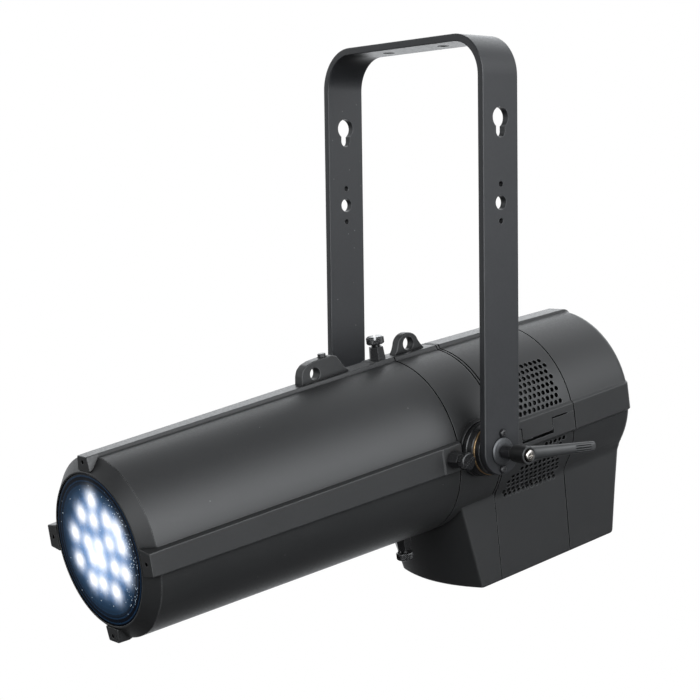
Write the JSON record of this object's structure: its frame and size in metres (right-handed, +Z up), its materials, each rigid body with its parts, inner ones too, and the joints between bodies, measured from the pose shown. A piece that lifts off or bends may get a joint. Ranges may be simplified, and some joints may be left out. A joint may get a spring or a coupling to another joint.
{
  "type": "ellipsoidal spotlight",
  "caption": "Sealed LED profile spotlight: cylindrical head with removable lens tube, vented body and driver box, hung in a U yoke with clamp levers.",
  "frame": {"origin": "middle of the yoke's top face, where the hanging clamp sits; the tilt axis is 436.3 mm below it", "axes": "+X along the tilt axis, +Y to the rear of the light, +Z up the yoke; the head is shown nose-down by 9.26 degrees"},
  "size_m": [0.368, 0.6825, 0.6013],
  "materials": {
    "coat": "satin fine-texture powder coat",
    "black_metal": "black zinc, semi-gloss",
    "black_plastic": "moulded glass-filled nylon",
    "steel": "zinc plated",
    "bronze": "sintered bronze, oiled",
    "lens": "coated optical glass",
    "clear_lens": "clear optical glass",
    "rubber": "silicone, matt",
    "anodised": "black anodised",
    "raw_aluminium": "extruded",
    "led_white": "emitter phosphor",
    "board": "solder mask",
    "display": "tinted window"
  },
  "bodies": {
    "yoke": {"yoke_bracket": "coat", "friction_plate_right": "black_metal", "friction_plate_left": "black_metal", "clamp_washer_right": "black_metal", "clamp_washer_left": "black_metal", "plate_screw_right_upper": "black_metal", "plate_screw_right_lower": "black_metal", "plate_screw_left_upper": "black_metal", "plate_screw_left_lower": "black_metal"},
    "head": {"front_housing": "coat", "vent_shell_upper": "coat", "vent_shell_lower": "coat", "rear_cap": "coat", "bottom_cover": "coat", "display_window": "display", "pressure_vent_plug": "black_plastic", "power_in_socket": "black_plastic", "power_out_socket": "black_plastic", "data_in_socket": "black_plastic", "data_out_socket": "black_plastic", "pivot_hub_right": "black_metal", "pivot_hub_left": "black_metal", "friction_washer_right": "bronze", "friction_washer_left": "bronze", "focus_sleeve": "anodised", "housing_seal": "rubber", "gate_plate": "anodised", "condenser_housing": "anodised", "condenser_lens": "clear_lens", "led_board": "board", "led_emitters": "led_white", "heat_sink": "raw_aluminium", "fan_frame": "black_plastic", "control_board": "board", "power_supply": "raw_aluminium"},
    "lens_tube": {"lens_barrel": "coat", "eye_screw": "black_metal", "lens_bezel": "coat", "front_lens": "lens", "lens_gasket": "rubber", "lens_retainer": "anodised", "second_lens_holder": "anodised", "second_lens": "clear_lens", "lock_gland_top": "black_metal", "lock_gland_right": "black_metal", "lock_gland_bottom": "black_metal", "lock_gland_left": "black_metal"},
    "fan_rotor": {"fan_rotor": "black_plastic"},
    "clamp_stud_right": {"clamp_stud_right": "steel"},
    "clamp_stud_left": {"clamp_stud_left": "steel"},
    "clamp_lever_right": {"clamp_lever_right": "black_plastic"},
    "clamp_lever_left": {"clamp_lever_left": "black_plastic"},
    "lock_plunger_top": {"lock_plunger_top": "black_metal"},
    "lock_plunger_right": {"lock_plunger_right": "black_metal"},
    "lock_plunger_bottom": {"lock_plunger_bottom": "black_metal"},
    "lock_plunger_left": {"lock_plunger_left": "black_metal"},
    "menu_button_1": {"menu_button_1": "rubber"},
    "menu_button_2": {"menu_button_2": "rubber"},
    "menu_button_3": {"menu_button_3": "rubber"},
    "menu_button_4": {"menu_button_4": "rubber"}
  },
  "joints": [
    {"name": "head_tilt", "type": "hinge", "parent": "yoke", "child": "head", "pos_m": [0, 0, -0.4363], "axis": [1, 0, 0], "range_deg": [-38, 100]},
    {"name": "lens_tube_slide", "type": "slide", "parent": "head", "child": "lens_tube", "axis": [0, -0.987, -0.1609], "range_m": [0, 0.05]},
    {"name": "fan_spin", "type": "hinge", "parent": "head", "child": "fan_rotor", "pos_m": [0, 0.11844, -0.41699], "axis": [0, 0.987, 0.1609], "continuous": true},
    {"name": "lock_plunger_top_pull", "type": "slide", "parent": "lens_tube", "child": "lock_plunger_top", "axis": [0, -0.1609, 0.987], "range_m": [0, 0.006], "stiffness_N_per_m": 800},
    {"name": "lock_plunger_right_pull", "type": "slide", "parent": "lens_tube", "child": "lock_plunger_right", "axis": [1, 0, 0], "range_m": [0, 0.006], "stiffness_N_per_m": 800},
    {"name": "lock_plunger_bottom_pull", "type": "slide", "parent": "lens_tube", "child": "lock_plunger_bottom", "axis": [0, 0.1609, -0.987], "range_m": [0, 0.006], "stiffness_N_per_m": 800},
    {"name": "lock_plunger_left_pull", "type": "slide", "parent": "lens_tube", "child": "lock_plunger_left", "axis": [-1, 0, 0], "range_m": [0, 0.006], "stiffness_N_per_m": 800},
    {"name": "clamp_right_turn", "type": "hinge", "parent": "head", "child": "clamp_stud_right", "pos_m": [0.15, 0, -0.4363], "axis": [1, 0, 0], "range_deg": [-90, 180]},
    {"name": "clamp_lever_right_lift", "type": "slide", "parent": "clamp_stud_right", "child": "clamp_lever_right", "axis": [1, 0, 0], "range_m": [0, 0.004], "stiffness_N_per_m": 1500},
    {"name": "clamp_left_turn", "type": "hinge", "parent": "head", "child": "clamp_stud_left", "pos_m": [-0.15, 0, -0.4363], "axis": [-1, 0, 0], "range_deg": [-180, 90]},
    {"name": "clamp_lever_left_lift", "type": "slide", "parent": "clamp_stud_left", "child": "clamp_lever_left", "axis": [-1, 0, 0], "range_m": [0, 0.004], "stiffness_N_per_m": 1500},
    {"name": "menu_button_1_press", "type": "slide", "parent": "head", "child": "menu_button_1", "axis": [0, -0.987, -0.1609], "range_m": [0, 0.0012], "stiffness_N_per_m": 20},
    {"name": "menu_button_2_press", "type": "slide", "parent": "head", "child": "menu_button_2", "axis": [0, -0.987, -0.1609], "range_m": [0, 0.0012], "stiffness_N_per_m": 20},
    {"name": "menu_button_3_press", "type": "slide", "parent": "head", "child": "menu_button_3", "axis": [0, -0.987, -0.1609], "range_m": [0, 0.0012], "stiffness_N_per_m": 20},
    {"name": "menu_button_4_press", "type": "slide", "parent": "head", "child": "menu_button_4", "axis": [0, -0.987, -0.1609], "range_m": [0, 0.0012], "stiffness_N_per_m": 20}
  ]
}
